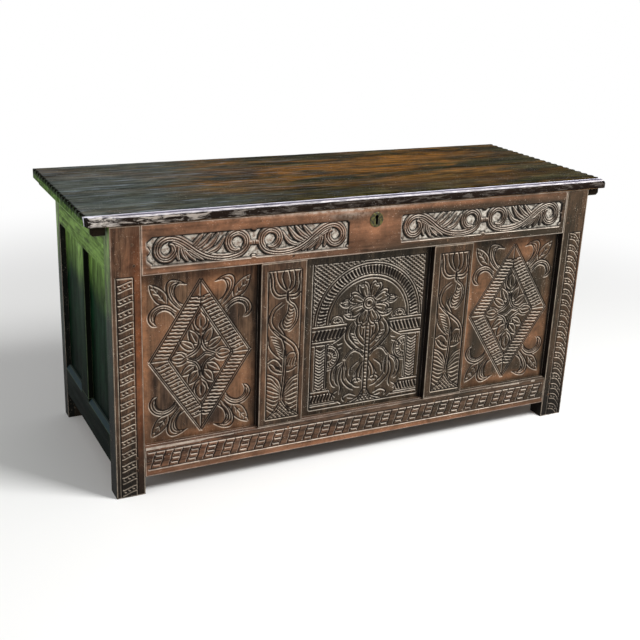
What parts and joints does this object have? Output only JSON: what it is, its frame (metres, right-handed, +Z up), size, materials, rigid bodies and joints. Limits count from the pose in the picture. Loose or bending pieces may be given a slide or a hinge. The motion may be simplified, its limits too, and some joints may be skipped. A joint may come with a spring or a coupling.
{
  "type": "coffer chest",
  "caption": "Joined oak coffer with a carved three-panel front, framed and panelled ends and back, a hinged plank lid with cleats, and an iron lock with a sliding bolt.",
  "frame": {"origin": "on the floor, under the middle of the lid", "axes": "+X along the chest to the right as seen from the front, +Y to the back, +Z up"},
  "size_m": [1.4, 0.53, 0.6803],
  "materials": {
    "carved_oak": "old dark wax, rubbed on the high points",
    "panel_oak": "old dark wax, olive brown",
    "end_oak": "green sheen over dark oak",
    "lid_oak": "waxed dark oak, worn and streaked",
    "plain_oak": "dry, unfinished dark oak",
    "iron": "forged, black",
    "brass": "dull olive brass"
  },
  "bodies": {
    "carcase": {"front_left_post": "carved_oak", "front_right_post": "carved_oak", "front_top_rail": "carved_oak", "front_bottom_rail": "carved_oak", "front_left_muntin": "carved_oak", "front_right_muntin": "carved_oak", "front_left_panel": "panel_oak", "front_centre_panel": "panel_oak", "front_right_panel": "panel_oak", "rear_left_post": "end_oak", "rear_right_post": "end_oak", "left_top_rail": "end_oak", "left_bottom_rail": "end_oak", "left_muntin": "end_oak", "left_front_panel": "end_oak", "left_rear_panel": "end_oak", "right_top_rail": "end_oak", "right_bottom_rail": "end_oak", "right_muntin": "end_oak", "right_front_panel": "end_oak", "right_rear_panel": "end_oak", "back_top_rail": "plain_oak", "back_bottom_rail": "plain_oak", "back_left_muntin": "plain_oak", "back_right_muntin": "plain_oak", "back_left_panel": "plain_oak", "back_centre_panel": "plain_oak", "back_right_panel": "plain_oak", "bottom_board_1": "plain_oak", "bottom_board_2": "plain_oak", "bottom_board_3": "plain_oak", "bottom_board_4": "plain_oak", "bottom_board_5": "plain_oak", "left_hinge_leaf": "iron", "left_hinge_pin": "iron", "right_hinge_leaf": "iron", "right_hinge_pin": "iron", "lock_plate": "iron", "escutcheon": "brass"},
    "lid": {"lid_front_board": "lid_oak", "lid_rear_board": "lid_oak", "lid_left_cleat": "end_oak", "lid_right_cleat": "end_oak", "left_hinge_strap": "iron", "right_hinge_strap": "iron", "lid_staple": "iron"},
    "lock_bolt": {"lock_bolt": "iron"}
  },
  "joints": [
    {"name": "lid_hinge", "type": "hinge", "parent": "carcase", "child": "lid", "pos_m": [0, 0.2588, 0.6505], "axis": [-1, 0, 0], "range_deg": [0, 105]},
    {"name": "bolt_slide", "type": "slide", "parent": "carcase", "child": "lock_bolt", "axis": [1, 0, 0], "range_m": [0, 0.014]}
  ]
}
